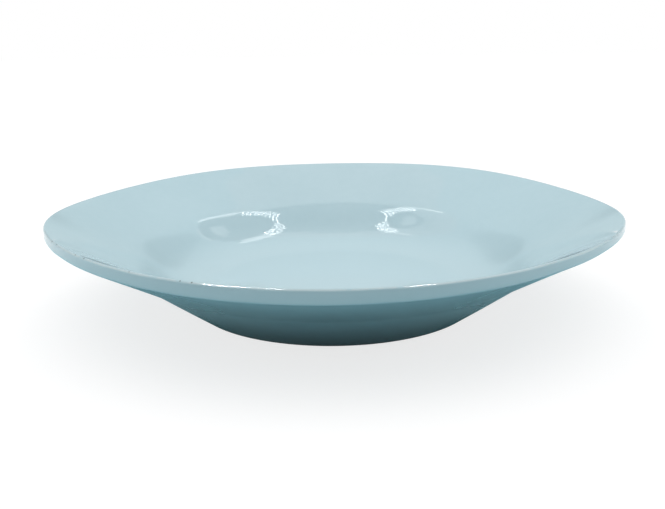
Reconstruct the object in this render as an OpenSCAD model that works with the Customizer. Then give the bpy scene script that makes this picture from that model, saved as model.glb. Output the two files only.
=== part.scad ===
// Pasta bowl: a wide, shallow bowl of glazed stoneware, in millimetres, +Z up.
// The origin is the middle of the foot ring, on the surface that the bowl stands on.
// The width, the height and the lip are taken over the glaze. The other sizes are those of the clay.

/* [Rim] */
// Diameter across the lip
rim_d = 270; // [240:1:310]
// Height from the foot to the crest of the lip
bowl_h = 46.5; // [42:0.5:56]
// Height of the lip's upright edge
lip_h = 5.2; // [4:0.1:6.5]
// Radius of the rounds above and below the upright edge
lip_edge_r = 0.9; // [0.8:0.1:1.7]
// Drop from the crest of the lip to the shoulder, where the flared rim meets the well
rim_drop = 20.7; // [16:0.1:24]

/* [Well] */
// Diameter at the shoulder
well_d = 192; // [176:1:208]
// Diameter at which the floor and the well wall would meet without the curve between them
floor_d = 146; // [130:1:156]
// Radius of the curve from the floor into the well wall
well_r = 52; // [20:1:60]
// Radius of the soft shoulder between the well wall and the flared rim
shoulder_r = 60; // [30:1:80]

/* [Walls] */
// Thickness of the wall at the shoulder
wall_t = 4.7; // [3.5:0.1:6.5]
// Thickness of the floor
floor_t = 5.1; // [4:0.1:7]

/* [Foot] */
// Diameter of the foot ring where it stands
foot_d = 137; // [120:1:145]
// Width of the foot ring where it stands
foot_w = 7; // [5:0.1:12]
// Depth of the recess inside the foot ring
recess_h = 3.4; // [2.4:0.1:5]
// Slope of the foot ring's inner side, in degrees from level
recess_slope = 60; // [45:1:80]
// Radius of the corner between the recess and the foot ring
recess_r = 1.5; // [1:0.1:2]
// Radius of the foot ring's inner edge
ring_edge_r = 1; // [0.4:0.1:1.6]
// Radius of the foot ring's outer edge
heel_r = 0.6; // [0.3:0.1:1]
// Height of the bare band round the foot, where the clay is wiped clean of glaze
bare_h = 0.8; // [0.7:0.1:2]
// Slope of the bare band, in degrees from level
bare_slope = 60; // [45:1:80]

/* [Glaze] */
// Thickness of a coat of glaze
glaze_t = 0.4; // [0.2:0.05:0.7]

/* [Hidden] */
clay_colour = "#c9baa2";
glaze_colour = "#bbd3da";
// Facets round the axis, and the most that an arc may bulge past a straight piece of it
$fn = 180;
arc_bulge = 0.03;

// Centres of the rounds of the lip's upright edge, and their radius under the glaze
lip_top = [rim_d / 2 - lip_edge_r, bowl_h - lip_edge_r];
lip_bottom = lip_top - [0, lip_h - 2 * lip_edge_r];
clay_lip_r = lip_edge_r - glaze_t;

// Corners of the clay on the eating side, from the middle of the floor to the lip
floor_middle = [0, recess_h + floor_t];
floor_corner = [floor_d / 2, floor_middle.y];
shoulder = [well_d / 2, bowl_h - rim_drop];
well_slope = slope(floor_corner, shoulder);
rim_slope = slope_to_round(shoulder, lip_top, 1);
lip_above = lip_top + clay_lip_r * [-sin(rim_slope), cos(rim_slope)];
eating_side = [floor_middle, floor_corner, shoulder, lip_above];

// The two curves of the eating side shrink together where the wall between them is short
well_reach = well_r * tan(well_slope / 2);
shoulder_reach = shoulder_r * tan(abs(well_slope - rim_slope) / 2);
wall_length = norm(shoulder - floor_corner);
curve_share = min(1, wall_length / (well_reach + shoulder_reach), floor_corner.x / well_reach);
eating_radii = [0, well_r * curve_share, shoulder_r * curve_share, 0];

// Corners of the clay on the underside: the recess, the bare foot ring, then the glazed outside
recess_middle = [0, recess_h];
heel = [foot_d / 2, 0];
ring_edge = heel - [foot_w, 0];
recess_corner = [ring_edge.x - recess_h / tan(recess_slope), recess_h];
bare_top = heel + [bare_h / tan(bare_slope), bare_h];
wall_lean = (well_slope + rim_slope) / 2;
outer_shoulder = shoulder + wall_t * [sin(wall_lean), -cos(wall_lean)];
under_slope = slope_to_round(outer_shoulder, lip_bottom, -1);
lip_below = lip_bottom + clay_lip_r * [sin(under_slope), -cos(under_slope)];
outer_shoulder_r = max(shoulder_r * curve_share - wall_t, lip_h);
foot = [recess_middle, recess_corner, ring_edge, heel];
foot_radii = [0, recess_r, ring_edge_r, heel_r];
outside = [bare_top, outer_shoulder, lip_below];
outside_radii = [0, outer_shoulder_r, 0];

// Slope of the line from a to b, in degrees from level
function slope(a, b) = atan2(b.y - a.y, b.x - a.x);

// Slope of the line from a that touches a round of the clay's lip, above its centre (1) or below it (-1)
function slope_to_round(a, centre, side) =
    slope(a, centre) + side * asin(clay_lip_r / norm(centre - a));

function unit(v) = v / norm(v);

function reversed(points) = [for (i = [len(points) - 1 : -1 : 0]) points[i]];

// 1 where the line a, b, c turns left at b, and -1 where it turns right
function turn(a, b, c) = sign((b.x - a.x) * (c.y - b.y) - (b.y - a.y) * (c.x - b.x));

// Points of an arc from one angle to another, both ends with it
function arc(centre, radius, from, to) =
    let (steps = ceil(abs(to - from) / (2 * acos(1 - arc_bulge / radius))))
    [for (k = [0 : steps]) let (angle = from + (to - from) * k / steps)
        centre + radius * [cos(angle), sin(angle)]];

// Arc of a radius that rounds the corner b of the line a, b, c
function corner_arc(a, b, c, radius) =
    let (back = unit(a - b),
         on = unit(c - b),
         half = acos(back * on) / 2,
         centre = b + unit(back + on) * radius / sin(half),
         side = turn(a, b, c),
         from = slope(a, b) - side * 90)
    arc(centre, radius, from, from + side * (180 - 2 * half));

// Unit vector to the right of the way from a to b
function right_of(a, b) = let (way = unit(b - a)) [way.y, -way.x];

// The corners of a line that runs a distance to the right of the given one
function moved_right(line, distance) =
    let (last = len(line) - 1)
    [for (i = [0 : last]) let (
        before = right_of(line[max(i - 1, 0)], line[max(i, 1)]),
        after = right_of(line[min(i, last - 1)], line[min(i + 1, last)]))
        line[i] + distance * (before + after) / (1 + before * after)];

// The given line, moved to the right by a distance, with its corners rounded about the same centres
function rounded(line, radii, distance) =
    let (moved = moved_right(line, distance))
    [for (i = [0 : len(line) - 1])
        each radii[i] == 0 ? [moved[i]] : corner_arc(moved[i - 1], moved[i], moved[i + 1],
            radii[i] + distance * turn(line[i - 1], line[i], line[i + 1]))];

function without_last(points) = [for (i = [0 : len(points) - 2]) points[i]];

// The eating side to the crest of the lip, under a coat of some thickness or at the clay (0)
function inside_line(coat) = concat(
    without_last(rounded(eating_side, eating_radii, -coat)),
    arc(lip_top, clay_lip_r + coat, 90 + rim_slope, 90));

// The outside from some first corners to the crest of the lip, over a coat or at the clay (0)
function outside_line(first, first_radii, coat) = concat(
    without_last(rounded(concat(first, outside), concat(first_radii, outside_radii), coat)),
    arc(lip_bottom, clay_lip_r + coat, under_slope - 90, 0),
    arc(lip_top, clay_lip_r + coat, 0, 90));

// The ceiling of the recess and its rounded corner, over a coat or at the clay (0)
function recess_line(coat) = without_last(
    rounded([recess_middle, recess_corner, ring_edge], [0, recess_r, 0], coat));

// A body turned from the outline between two lines that both run outwards
module turned(over, under) {
    rotate_extrude() polygon(concat(over, reversed(under)));
}

// Fired stoneware: floor, well, flared rim and foot ring in one piece
module clay_body() {
    color(clay_colour) turned(inside_line(0), without_last(outside_line(foot, foot_radii, 0)));
}

// Coat on the eating side, up to the crest of the lip
module inside_glaze() {
    color(glaze_colour) turned(inside_line(glaze_t), inside_line(0));
}

// Coat on the outside, from the crest of the lip down to the bare band round the foot
module outside_glaze() {
    color(glaze_colour) turned(outside_line([], [], 0), outside_line([], [], glaze_t));
}

// Coat on the ceiling of the recess, which the bare foot ring parts from the outside coat
module base_glaze() {
    color(glaze_colour) turned(recess_line(0), recess_line(glaze_t));
}

clay_body();
inside_glaze();
outside_glaze();
base_glaze();
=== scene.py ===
"""The looks of a wide, shallow pasta bowl: buff stoneware under a glossy, pale blue glaze.

Lengths are in metres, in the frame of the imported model: +Z is up, the origin is the middle of the foot
ring, and the front of the bowl faces -Y.
"""

import math

import bpy
from mathutils import Matrix, Vector, noise


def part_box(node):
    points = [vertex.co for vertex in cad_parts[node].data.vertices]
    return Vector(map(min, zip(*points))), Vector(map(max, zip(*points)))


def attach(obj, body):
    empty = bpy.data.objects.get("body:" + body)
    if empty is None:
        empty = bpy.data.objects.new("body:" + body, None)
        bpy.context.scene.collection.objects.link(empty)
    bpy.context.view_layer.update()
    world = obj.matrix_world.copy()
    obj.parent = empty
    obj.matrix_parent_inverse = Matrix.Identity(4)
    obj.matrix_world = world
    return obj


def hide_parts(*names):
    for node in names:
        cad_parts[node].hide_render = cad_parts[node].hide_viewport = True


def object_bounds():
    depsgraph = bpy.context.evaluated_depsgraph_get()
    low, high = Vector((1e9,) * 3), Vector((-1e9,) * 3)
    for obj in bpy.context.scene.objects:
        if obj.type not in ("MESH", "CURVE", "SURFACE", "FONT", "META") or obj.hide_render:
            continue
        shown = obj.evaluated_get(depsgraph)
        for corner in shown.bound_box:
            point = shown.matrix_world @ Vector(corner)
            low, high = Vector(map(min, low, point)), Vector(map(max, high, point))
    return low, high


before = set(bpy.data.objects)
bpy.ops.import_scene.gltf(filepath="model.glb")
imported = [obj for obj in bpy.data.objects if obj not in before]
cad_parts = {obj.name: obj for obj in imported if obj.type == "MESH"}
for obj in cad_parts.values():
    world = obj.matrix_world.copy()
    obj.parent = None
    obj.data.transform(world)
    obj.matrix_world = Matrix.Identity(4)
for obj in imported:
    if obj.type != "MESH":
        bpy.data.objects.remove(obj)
cad_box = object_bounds()


# Clay body
# One piece of buff stoneware: floor, well, flared rim, lip and foot ring, turned on a wheel and fired.
# The glaze hides all of it but the foot ring, which is wiped bare so that it can stand in the kiln.
clay_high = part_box("clay_body")[1]
inside_low, inside_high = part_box("inside_glaze")
outside_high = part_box("outside_glaze")[1]
recess_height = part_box("base_glaze")[1].z

rim_radius = outside_high.x
bowl_height = outside_high.z
crest_radius = inside_high.x
floor_height = inside_low.z
glaze_depth = rim_radius - clay_high.x
lip_curve = clay_high.x - crest_radius

lip_height = 0.0052
lip_flat = lip_height - 2 * (lip_curve + glaze_depth)
lip_top = Vector((crest_radius, clay_high.z - lip_curve))
lip_bottom = lip_top - Vector((0, lip_flat))

floor_radius = 0.073
well_curve = 0.052
shoulder_radius = 0.096
shoulder_drop = 0.0207
shoulder_curve = 0.060
wall = 0.0047

foot_radius = 0.0685
foot_width = 0.007
foot_slope = math.radians(60)
heel_curve = 0.0006
ring_edge_curve = 0.001
recess_curve = 0.0015
bare_height = 0.0008

# Waves of the hand-finished rim, and of the height of its lip: how many go round, how high they are,
# and where one crests, in degrees round the axis
rim_waves = [(2, 0.00043, 84), (3, 0.00110, -35), (4, 0.00043, -44), (5, 0.00042, -21)]
lip_waves = [(0, -0.0002, 0), (2, 0.0011, 81)]

# Ripples of the trimmed edge
ripple_height = 0.0002
ripple_length = 0.013

# How finely the meshes are stepped, and the angle from which an edge of theirs stays sharp
facets = 384
longest_step = 0.0016
arc_step = math.radians(4)
sharp_edge = math.radians(40)


def smooth(value, low, high):
    """0 below low, 1 above high, and an even S-curve between them."""
    share = min(max((value - low) / (high - low), 0), 1)
    return share * share * (3 - 2 * share)


def arc(centre, radius, start, end):
    """Points of an arc in the cross-section, with angles from the outward direction."""
    steps = math.ceil(abs(end - start) / arc_step)
    angles = [start + (end - start) * step / steps for step in range(steps + 1)]
    return [centre + radius * Vector((math.cos(angle), math.sin(angle))) for angle in angles]


def rounded(corners):
    """Points of a line through corners, each given as (radius from the axis, height, curve)."""
    points = []
    for i, (radius, height, curve) in enumerate(corners):
        here = Vector((radius, height))
        if not curve:
            points.append(here)
            continue
        back = (Vector(corners[i - 1][:2]) - here).normalized()
        on = (Vector(corners[i + 1][:2]) - here).normalized()
        half = back.angle(on) / 2
        centre = here + (back + on).normalized() * curve / math.sin(half)
        first = here + back * curve / math.tan(half) - centre
        last = here + on * curve / math.tan(half) - centre
        steps = math.ceil(first.angle(last) / arc_step)
        points += [centre + curve * first.slerp(last, step / steps) for step in range(steps + 1)]
    return points


def spaced(points):
    """The same line with points added, so that no step is longer than the longest one."""
    line = [points[0]]
    for point in points[1:]:
        start = line[-1]
        steps = math.ceil((point - start).length / longest_step)
        line += [start.lerp(point, step / steps) for step in range(1, steps + 1)]
    return line


def slope_to_round(point, centre, side):
    """Slope of a line from a point that touches a round of the lip, above (1) or below (-1) its centre."""
    way = centre - point
    return math.atan2(way.y, way.x) + side * math.asin(lip_curve / way.length)


shoulder = Vector((shoulder_radius, bowl_height - shoulder_drop))
well_slope = math.atan2(shoulder.y - floor_height, shoulder.x - floor_radius)
rim_slope = slope_to_round(shoulder, lip_top, 1)
lean = (well_slope + rim_slope) / 2
outer_shoulder = shoulder + wall * Vector((math.sin(lean), -math.cos(lean)))
under_slope = slope_to_round(outer_shoulder, lip_bottom, -1)
top = math.pi / 2
lip_above = arc(lip_top, lip_curve, top + rim_slope, top)
lip_below = arc(lip_bottom, lip_curve, under_slope - top, 0) + arc(lip_top, lip_curve, 0, top)
ring_edge = foot_radius - foot_width
recess_radius = ring_edge - recess_height / math.tan(foot_slope)
bare_radius = foot_radius + bare_height / math.tan(foot_slope)

eating_side = spaced(rounded([
    (0, floor_height, 0),
    (floor_radius, floor_height, well_curve),
    (*shoulder, shoulder_curve),
    (*lip_above[0], 0),
]) + lip_above[1:])
recess = spaced(rounded([
    (0, recess_height, 0),
    (recess_radius, recess_height, recess_curve),
    (ring_edge, 0, ring_edge_curve),
    (foot_radius - foot_width / 2, 0, 0),
]))
outside = spaced(rounded([
    (foot_radius - foot_width / 2, 0, 0),
    (foot_radius, 0, heel_curve),
    (bare_radius, bare_height, 0),
    (*outer_shoulder, shoulder_curve - wall),
    (*lip_below[0], 0),
]) + lip_below[1:])


def sway(waves, angle):
    """Sum of some waves at an angle round the axis."""
    return sum(high * math.cos(count * (angle - math.radians(crest))) for count, high, crest in waves)


def on_bowl(point, angle):
    """Where a point of the true round form lies on the bowl, whose rim and lip are a little uneven."""
    way = Vector((math.cos(angle), math.sin(angle), 0))
    free = smooth(point.x, foot_radius, rim_radius)
    edge = smooth(point.x, crest_radius, rim_radius)
    depth = lip_above[0].y + (point.x - lip_above[0].x) * math.tan(rim_slope) - point.y
    under = smooth(depth, 0, lip_height) * smooth(point.x, shoulder_radius, crest_radius)
    ripple = ripple_height * noise.noise(way * rim_radius / ripple_length)
    height = point.y + free * sway(rim_waves, angle) - under * sway(lip_waves, angle) + edge * ripple
    return way * point.x + Vector((0, 0, height))


def turned(name, section):
    """A mesh whose section is turned round the axis: a list of functions from an angle to a point.

    A section that starts on the axis also ends on it. Any other section is a closed ring.
    """
    angles = [2 * math.pi * turn / facets for turn in range(facets)]
    vertices = []
    rings = []
    for station in section:
        on_axis = station(0).x == 0
        stops = angles[:1] if on_axis else angles
        rings.append([len(vertices) + turn for turn in range(len(stops))])
        vertices += [on_bowl(station(angle), angle) for angle in stops]
    if len(rings[0]) > 1:
        rings.append(rings[0])
    faces = []
    for ring, after in zip(rings, rings[1:]):
        for turn in range(facets):
            on = (turn + 1) % facets
            corners = [ring[turn % len(ring)], after[turn % len(after)]]
            corners += [after[on % len(after)], ring[on % len(ring)]]
            faces.append(list(dict.fromkeys(corners)))
    mesh = bpy.data.meshes.new(name)
    mesh.from_pydata(vertices, [], faces)
    mesh.shade_smooth()
    mesh.set_sharp_from_angle(angle=sharp_edge)
    piece = bpy.data.objects.new(name, mesh)
    bpy.context.scene.collection.objects.link(piece)
    return piece


def at(point):
    """A station of a section that is the same all the way round."""
    return lambda angle: point


class Wire:
    """An output of a shader node. Arithmetic on wires adds Math nodes to their node tree."""

    def __init__(self, socket):
        self.socket = socket

    @classmethod
    def of(cls, tree, kind, settings, inputs, output=0):
        """Adds a node of a kind, with its settings and then its inputs, and gives one of its outputs."""
        node = tree.nodes.new(kind)
        for name, value in settings.items():
            setattr(node, name, value)
        for name, value in inputs.items():
            if isinstance(value, Wire):
                tree.links.new(value.socket, node.inputs[name])
            else:
                node.inputs[name].default_value = value
        return None if output is None else cls(node.outputs[output])

    def maths(self, operation, first, second):
        """A Math node on two values, each a wire or a number."""
        tree = self.socket.id_data
        return Wire.of(tree, "ShaderNodeMath", {"operation": operation}, {0: first, 1: second})

    def __add__(self, other):
        return self.maths("ADD", self, other)

    def __radd__(self, other):
        return self.maths("ADD", other, self)

    def __sub__(self, other):
        return self.maths("SUBTRACT", self, other)

    def __rsub__(self, other):
        return self.maths("SUBTRACT", other, self)

    def __mul__(self, other):
        return self.maths("MULTIPLY", self, other)

    def __rmul__(self, other):
        return self.maths("MULTIPLY", other, self)


def new_finish(name):
    """An empty material and its node tree."""
    finish = bpy.data.materials.new(name)
    finish.use_nodes = True
    finish.node_tree.nodes.clear()
    return finish, finish.node_tree


def place_in(tree):
    """The place on a piece, in metres."""
    return Wire.of(tree, "ShaderNodeTexCoord", {}, {}, "Object")


def mottle(tree, place, size, detail):
    """Soft cloudy noise from 0 to 1, with clouds of about a size."""
    inputs = {"Vector": place, "Scale": 1 / size, "Detail": detail, "Roughness": 0.5}
    return Wire.of(tree, "ShaderNodeTexNoise", {}, inputs)


def fade(tree, value, low, high):
    """0 below low, 1 above high, and an S-curve between them."""
    settings = {"interpolation_type": "SMOOTHSTEP"}
    inputs = {"Value": value, "From Min": low, "From Max": high}
    return Wire.of(tree, "ShaderNodeMapRange", settings, inputs)


def tinted(tree, share, colour, other):
    """A colour that goes over to another one with the share of it."""
    settings = {"data_type": "RGBA"}
    return Wire.of(tree, "ShaderNodeMix", settings, {0: share, 6: colour, 7: other}, 2)


def bumped(tree, height, depth):
    """The surface's normal with a relief of some depth."""
    return Wire.of(tree, "ShaderNodeBump", {}, {"Height": height, "Distance": depth, "Strength": 1})


clay_colour = (0.58, 0.49, 0.36, 1)
clay_dark = (0.47, 0.37, 0.25, 1)
clay_cloud = 0.012
clay_roughness = 0.74
grit_size = 0.0006
grit_depth = 0.00008
grit_roughness = 0.16
iron_colour = (0.20, 0.12, 0.07, 1)
iron_size = 0.0011
iron_span = (0.70, 0.74)
iron_strength = 0.7


def stoneware_finish():
    """Bare fired clay: buff and matt, cloudy, with fine grit and a few iron specks."""
    finish, tree = new_finish("bare_stoneware")
    place = place_in(tree)
    clouds = mottle(tree, place, clay_cloud, detail=3)
    grit = mottle(tree, place, grit_size, detail=2)
    specks = iron_strength * fade(tree, mottle(tree, place, iron_size, detail=1), *iron_span)
    colour = tinted(tree, specks, tinted(tree, clouds, clay_colour, clay_dark), iron_colour)
    inputs = {
        "Base Color": colour,
        "Roughness": clay_roughness + grit_roughness * grit,
        "Normal": bumped(tree, grit, grit_depth),
    }
    shader = Wire.of(tree, "ShaderNodeBsdfPrincipled", {}, inputs)
    Wire.of(tree, "ShaderNodeOutputMaterial", {}, {"Surface": shader}, None)
    return finish


section = eating_side + outside[-2::-1] + recess[-2::-1]
clay = turned("bowl_clay", [at(point) for point in section])
clay.data.materials.append(stoneware_finish())
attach(clay, "root")
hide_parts("clay_body")


# Inside glaze
# A glassy coat, poured in and swirled round, from the middle of the floor to the crest of the lip.
# It draws thin over the tight lip, where its colour breaks, and lies in soft waves.
wave_depth = 0.00003
wave_length = 0.020
lip_thinning = 0.00008
lip_reach = 0.005
bead_width = 0.0007


def depth_of_glaze(point, angle):
    """Thickness of the fired coat over a point of the clay."""
    spot = on_bowl(point, angle)
    lip = smooth(point.y, bowl_height - lip_reach, bowl_height)
    return glaze_depth - lip_thinning * lip + wave_depth * noise.noise(spot / wave_length)


def bead(distance):
    """Share of the full depth at a distance from the coat's free edge, which is rounded."""
    rest = 1 - min(distance / bead_width, 1)
    return math.sqrt(1 - rest * rest)


def coated(point, out, share):
    """A station on the coat's surface, over a point of the clay."""
    return lambda angle: point + out * share * depth_of_glaze(point, angle)


def coat(name, line, side, free_end=None):
    """A coat over a line of clay that runs outwards, on its upper side (1) or on its under side (-1)."""
    over = []
    for i, point in enumerate(line):
        way = line[min(i + 1, len(line) - 1)] - line[max(i - 1, 0)]
        out = side * Vector((-way.y, way.x)).normalized()
        # Both coats end straight above the crest, where they meet
        if point == eating_side[-1]:
            out = Vector((0, 1))
        share = 1 if free_end is None else bead((point - line[free_end]).length)
        over.append(coated(point, out, share))
    under = [at(point) for point in line]
    return turned(name, over + under[::-1] if side > 0 else under + over[::-1])


glaze_pale = (0.452, 0.590, 0.636, 1)
glaze_deep = (0.38, 0.525, 0.574, 1)
glaze_roughness = 0.01
glaze_ior = 1.5

# Clouds and freckles of the deeper colour, which stay clear of the floor, and fine waves of the surface
cloud_size = 0.045
cloud_share = 0.7
cloud_roughness = 0.03
freckle_size = 0.004
clear_height = 0.012
relief_length = 0.007
relief_depth = 0.000003

# Thin glaze along the top of the lip: where it sets in, how far up it faces, and where it breaks
glaze_thin = (0.51, 0.59, 0.61, 1)
thin_width = 0.0004
thin_tilt = (0.1, 0.5)
thin_breaks = (0.3, 0.5)
thin_strength = 0.7

# Pinholes along the top of the lip: the angle round the axis, and how wide each one is
pinholes = [(-149.2, 0.0013), (-146.4, 0.0010), (-138.0, 0.0009), (-135.1, 0.0011),
            (-123.5, 0.0008), (-113.7, 0.0009), (-111.7, 0.0010)]
pinhole_lean = math.radians(35)
pinhole_core = 0.2
# The pinholes are real, but they have no depth in the mesh: their near-black colour is painted shade
# inside each pit
pinhole_painted_shade = (0.10, 0.12, 0.11, 1)
pinhole_shade_strength = 0.8


def radius_of(tree, place):
    """Distance of a place from the bowl's axis."""
    level = Wire.of(tree, "ShaderNodeVectorMath", {"operation": "MULTIPLY"}, {0: place, 1: (1, 1, 0)})
    return Wire.of(tree, "ShaderNodeVectorMath", {"operation": "LENGTH"}, {0: level}, "Value")


def height_of(tree, place):
    """Height of a place above the table."""
    return Wire.of(tree, "ShaderNodeSeparateXYZ", {}, {"Vector": place}, "Z")


def upward(tree):
    """How far the surface faces up, from -1 to 1."""
    normal = Wire.of(tree, "ShaderNodeNewGeometry", {}, {}, "Normal")
    return Wire.of(tree, "ShaderNodeSeparateXYZ", {}, {"Vector": normal}, "Z")


def pitted(tree, place):
    """1 in the pinholes of the lip, and 0 elsewhere."""
    way = Vector((math.sin(pinhole_lean), math.cos(pinhole_lean)))
    point = lip_top + (lip_curve + glaze_depth) * way
    pits = 0
    for angle, width in pinholes:
        inputs = {0: place, 1: on_bowl(point, math.radians(angle))}
        distance = Wire.of(tree, "ShaderNodeVectorMath", {"operation": "DISTANCE"}, inputs, "Value")
        pits = pits + (1 - fade(tree, distance, pinhole_core * width, width / 2))
    return pits


def glaze_finish():
    """Glossy pale blue glaze: cloudy, thin along the top of the lip, and with a few pinholes there, whose
    shade is painted near black.
    """
    finish, tree = new_finish("blue_glaze")
    place = place_in(tree)
    clouds = mottle(tree, place, cloud_size, detail=3)
    freckles = mottle(tree, place, freckle_size, detail=2)
    above = fade(tree, height_of(tree, place), floor_height, floor_height + clear_height)
    tone = cloud_share * clouds + (1 - cloud_share) * freckles
    colour = tinted(tree, tone * above, glaze_pale, glaze_deep)
    edge = fade(tree, radius_of(tree, place), crest_radius, crest_radius + thin_width)
    thin = edge * fade(tree, upward(tree), *thin_tilt) * fade(tree, freckles, *thin_breaks)
    colour = tinted(tree, thin_strength * thin, colour, glaze_thin)
    # Painted shade: the pinholes are darkened to near black
    colour = tinted(tree, pinhole_shade_strength * pitted(tree, place), colour, pinhole_painted_shade)
    waves = mottle(tree, place, relief_length, detail=2)
    inputs = {
        "Base Color": colour,
        "Roughness": glaze_roughness + cloud_roughness * clouds,
        "IOR": glaze_ior,
        "Normal": bumped(tree, waves, relief_depth),
    }
    shader = Wire.of(tree, "ShaderNodeBsdfPrincipled", {}, inputs)
    Wire.of(tree, "ShaderNodeOutputMaterial", {}, {"Surface": shader}, None)
    return finish


blue_glaze = glaze_finish()
inside = coat("bowl_inside_glaze", eating_side, 1)
inside.data.materials.append(blue_glaze)
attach(inside, "root")
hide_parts("inside_glaze")


# Outside glaze
# The same glaze on the outside, dipped from the crest of the lip down to just above the foot.
# It is wiped off the foot ring with a wet sponge, which leaves a rounded edge.
glaze_edge = 0.0002
dipped = [point for point in outside if point.y > glaze_edge]
outer = coat("bowl_outside_glaze", dipped, -1, free_end=0)
outer.data.materials.append(blue_glaze)
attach(outer, "root")
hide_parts("outside_glaze")


# Base glaze
# The disc of the same glaze on the ceiling of the recess, inside the bare foot ring.
# It is poured in and swirled round, and its edge is sponged to a round one.
base_edge = 0.0012
ceiling = [point for point in recess if point.y > base_edge]
base = coat("bowl_base_glaze", ceiling, -1, free_end=-1)
base.data.materials.append(blue_glaze)
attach(base, "root")
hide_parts("base_glaze")


# Floor and backdrop
# A white table that runs on into a white backdrop, as the eye and the gloss see them.
# It glows a little through the shadow, and throws only some cool light back at the underside.
table_size = 8
table_white = (0.97, 0.97, 0.97, 1)
table_glow = 0.72
glow_level = 1.04
white = (1, 1, 1, 1)

# The light that the table throws back, which grows over a span of radii from the foot outwards
table_bounce = (0.29, 0.47, 0.52, 1)
foot_bounce = (0.08, 0.14, 0.15, 1)
bounce_span = (0.085, 0.15)

# What the gloss close above the table sees in it, dark by the foot: over which distances it grows, and
# over which it gives way to plain white
table_sheen = (0.46, 0.77, 0.83, 1)
foot_sheen = (0.10, 0.30, 0.33, 1)
sheen_span = (0.004, 0.04)
sheen_end = (0.12, 0.25)


def seen(tree):
    """1 for what the eye sees straight, in a reflection or through glass, and 0 for light."""
    paths = [Wire.of(tree, "ShaderNodeLightPath", {}, {}, f"Is {ray} Ray")
             for ray in ("Camera", "Glossy", "Transmission")]
    straight, mirrored, through = paths
    return straight.maths("MAXIMUM", straight, mirrored.maths("MAXIMUM", mirrored, through))


def table_finish():
    """White to the eye, which sees a light shadow. Gloss close above it sees a cool, full one."""
    finish, tree = new_finish("white_table")
    mirrored = Wire.of(tree, "ShaderNodeLightPath", {}, {}, "Is Glossy Ray")
    length = Wire.of(tree, "ShaderNodeLightPath", {}, {}, "Ray Length")
    close = mirrored * (1 - fade(tree, length, *sheen_end))
    away = fade(tree, radius_of(tree, place_in(tree)), *bounce_span)
    colour = tinted(tree, seen(tree), tinted(tree, away, foot_bounce, table_bounce), table_white)
    sheen = tinted(tree, fade(tree, length, *sheen_span), foot_sheen, table_sheen)
    matt = Wire.of(tree, "ShaderNodeBsdfDiffuse", {}, {"Color": tinted(tree, close, colour, sheen)})
    glow = Wire.of(tree, "ShaderNodeEmission", {}, {"Color": white, "Strength": glow_level})
    share = table_glow * seen(tree) * (1 - close)
    shader = Wire.of(tree, "ShaderNodeMixShader", {}, {0: share, 1: matt, 2: glow})
    Wire.of(tree, "ShaderNodeOutputMaterial", {}, {"Surface": shader}, None)
    return finish


bpy.ops.mesh.primitive_plane_add(size=table_size, location=(0, 0, cad_box[0].z))
table = bpy.context.object
table.name = "table"
table.data.materials.append(table_finish())

# The room: the eye and the gloss see it white, and the bowl gets less light than that from it
daylight = 0.37
backdrop = 1.0
studio = bpy.data.worlds.new("studio")
studio.use_nodes = True
studio_tree = studio.node_tree
studio_tree.nodes.clear()
strength = daylight + (backdrop - daylight) * seen(studio_tree)
sky = Wire.of(studio_tree, "ShaderNodeBackground", {}, {"Color": white, "Strength": strength})
Wire.of(studio_tree, "ShaderNodeOutputWorld", {}, {"Surface": sky}, None)
bpy.context.scene.world = studio


# Lamps
# A wide, soft light from overhead and a soft panel on either side, as in a light tent.
# The gloss doesn't show them: it shows the bars, strips and cards that follow.
overhead_level = 0.66
overhead_width = math.radians(90)
overhead = bpy.data.lights.new("overhead", "SUN")
overhead.energy = overhead_level * math.pi
overhead.angle = overhead_width
overhead_lamp = bpy.data.objects.new("overhead", overhead)
overhead_lamp.visible_glossy = False
bpy.context.scene.collection.objects.link(overhead_lamp)


def panel_lamp(name, width, depth, brightness, spot, target, spin=0):
    """A rectangle of even light at a spot, facing a target and spun about its own axis.

    The camera doesn't see it.
    """
    light = bpy.data.lights.new(name, "AREA")
    light.shape = "RECTANGLE"
    light.size = width
    light.size_y = depth
    light.energy = brightness * math.pi * width * depth
    lamp = bpy.data.objects.new(name, light)
    lamp.location = spot
    facing = (Vector(target) - Vector(spot)).to_track_quat("-Z", "Y").to_matrix()
    lamp.rotation_euler = (facing @ Matrix.Rotation(spin, 3, "Z")).to_euler()
    lamp.visible_camera = False
    bpy.context.scene.collection.objects.link(lamp)
    return lamp


side_distance = 0.9
side_height = 0.22
side_width = 1.0
side_depth = 0.5
side_level = 2.0
for side in (-1, 1):
    spot = (side * side_distance, 0, side_height)
    side_panel = panel_lamp("side_panel", side_width, side_depth, side_level, spot, (0, 0, side_height))
    side_panel.visible_glossy = False

# Two rows of slanted bars under the roof of the light tent: where each starts in front and ends behind
row_height = 0.385
rows = [((-0.057, 0.138), (-0.050, 0.225)),
        ((0.064, 0.144), (0.056, 0.240))]
bar_pitch = 0.0105
bar_width = 0.0013
bar_depth = 0.034
bar_slant = math.radians(38)
bar_level = 22

for start, end in rows:
    run = Vector(end) - Vector(start)
    for step in range(int(run.length / bar_pitch) + 1):
        place = Vector(end) - run.normalized() * bar_pitch * step
        spin = math.copysign(bar_slant, place.x)
        panel_lamp("bar", bar_width, bar_depth, bar_level, (*place, row_height), (*place, 0), spin)

# Dimmer strips behind the rows: where each starts and ends, how wide it is and how bright
strips = [((-0.046, 0.238), (-0.060, 0.268), 0.008, 4.0),
          ((0.054, 0.252), (0.054, 0.348), 0.017, 2.6)]
for start, end, width, brightness in strips:
    run = Vector(end) - Vector(start)
    middle = (Vector(start) + Vector(end)) / 2
    spin = -math.atan2(run.x, run.y)
    panel_lamp("strip", width, run.length, brightness, (*middle, row_height), (*middle, 0), spin)

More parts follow.
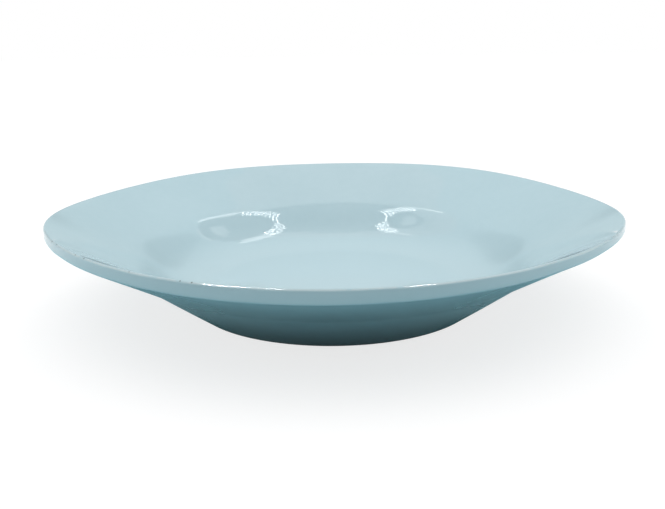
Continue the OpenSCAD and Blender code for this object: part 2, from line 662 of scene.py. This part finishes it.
# The dark roof of the tent, in three parts that end further back from left to right, and the wall behind
# the bowl, which only the gloss sees
roof_gap = 0.005
roof_height = row_height + roof_gap
roof_backs = (0.188, 0.225, 0.335)
roof_joins = (-0.052, 0.056)
roof_reach = 0.17
roof_front = 0.05
roof_level = 0.12
wall_distance = 3
wall_width = 14
wall_height = 5
wall_low = 0.74
wall_rise = 0.26
rise_span = (0.8, 4.0)
wall_cool = (0.77, 0.95, 1.0, 1)
black = (0, 0, 0, 1)

# Dark wings on both sides of the wall's middle: over which spans they set in to the side and upwards,
# and where they end under their slanted upper edges
wing_aside = (0.20, 0.50)
wing_foot = (0.50, 0.85)
wing_top = (0.7, 1.1)
wing_slant = 1.3
wing_dark = 0.5


def card_finish(name, level):
    """An even white glow."""
    finish, tree = new_finish(name)
    glow = Wire.of(tree, "ShaderNodeEmission", {}, {"Color": white, "Strength": level})
    Wire.of(tree, "ShaderNodeOutputMaterial", {}, {"Surface": glow}, None)
    return finish


def wall_finish():
    """A cool glow, dim low down and brighter towards the roof, with the dark wings."""
    finish, tree = new_finish("back_wall")
    place = place_in(tree)
    height = height_of(tree, place)
    across = Wire.of(tree, "ShaderNodeSeparateXYZ", {}, {"Vector": place}, "X")
    aside = across.maths("ABSOLUTE", across, 0)
    below = 1 - fade(tree, height - wing_slant * aside, *wing_top)
    wings = fade(tree, aside, *wing_aside) * below * fade(tree, height, *wing_foot)
    level = (wall_low + wall_rise * fade(tree, height, *rise_span)) * (1 - wing_dark * wings)
    glow = Wire.of(tree, "ShaderNodeEmission", {}, {"Color": tinted(tree, level, black, wall_cool)})
    Wire.of(tree, "ShaderNodeOutputMaterial", {}, {"Surface": glow}, None)
    return finish


def gloss_card(name, corners, finish):
    """A panel through four corners that only the gloss sees."""
    mesh = bpy.data.meshes.new(name)
    mesh.from_pydata(corners, [], [(0, 1, 2, 3)])
    mesh.materials.append(finish)
    panel = bpy.data.objects.new(name, mesh)
    panel.visible_camera = False
    panel.visible_diffuse = False
    panel.visible_shadow = False
    bpy.context.scene.collection.objects.link(panel)


def level_corners(left, front, right, back, height):
    """Corners of a level panel."""
    return [(left, front, height), (right, front, height), (right, back, height), (left, back, height)]


roof_finish = card_finish("roof", roof_level)
roof_sides = (-roof_reach, *roof_joins, roof_reach)
for left, right, back in zip(roof_sides, roof_sides[1:], roof_backs):
    gloss_card("roof", level_corners(left, roof_front, right, back, roof_height), roof_finish)

half_wall = wall_width / 2
wall_corners = [(-half_wall, wall_distance, 0), (half_wall, wall_distance, 0),
                (half_wall, wall_distance, wall_height), (-half_wall, wall_distance, wall_height)]
gloss_card("back_wall", wall_corners, wall_finish())

# Pale cards under the roof, which the well shows inside its two dark pockets: the left, front, right and
# back edges of each
pale_cards = [(0.114, 0.238, 0.134, 0.286),
              (0.110, 0.326, 0.150, 0.342),
              (-0.098, 0.150, -0.080, 0.172)]
pale_level = 1.3
pale_finish = card_finish("pale_card", pale_level)
for card in pale_cards:
    gloss_card("pale_card", level_corners(*card, row_height), pale_finish)

# Short cards in front, as high as the rows, which the top of the lip shows as broken white glints: where
# each starts and ends, and how bright it is
glints = [(-0.270, -0.215, 170), (-0.205, -0.150, 120), (-0.135, -0.090, 55), (0.128, 0.178, 80)]
glint_front = -0.225
glint_back = -0.160
for left, right, brightness in glints:
    corners = level_corners(left, glint_front, right, glint_back, row_height)
    gloss_card("glint_card", corners, card_finish("glint_card", brightness))


# Camera
# It stands in front of the bowl and looks down on it a little, as the photograph does.
# It also leans a touch to one side.
photo_width = 665
focal_pixels = 845.7
sensor_width = 36
camera_spot = (-0.00103, -0.405, 0.12934)
look_down = math.radians(14.83)
lean_aside = math.radians(0.74)
camera = bpy.data.cameras.new("camera")
camera.sensor_width = sensor_width
camera.lens = focal_pixels * sensor_width / photo_width
viewer = bpy.data.objects.new("camera", camera)
viewer.location = camera_spot
tilt = Matrix.Rotation(math.pi / 2 - look_down, 3, "X")
roll = Matrix.Rotation(-lean_aside, 3, "Z")
viewer.rotation_euler = (tilt @ roll).to_euler()
bpy.context.scene.collection.objects.link(viewer)
bpy.context.scene.camera = viewer
bpy.context.scene.view_settings.view_transform = "Standard"
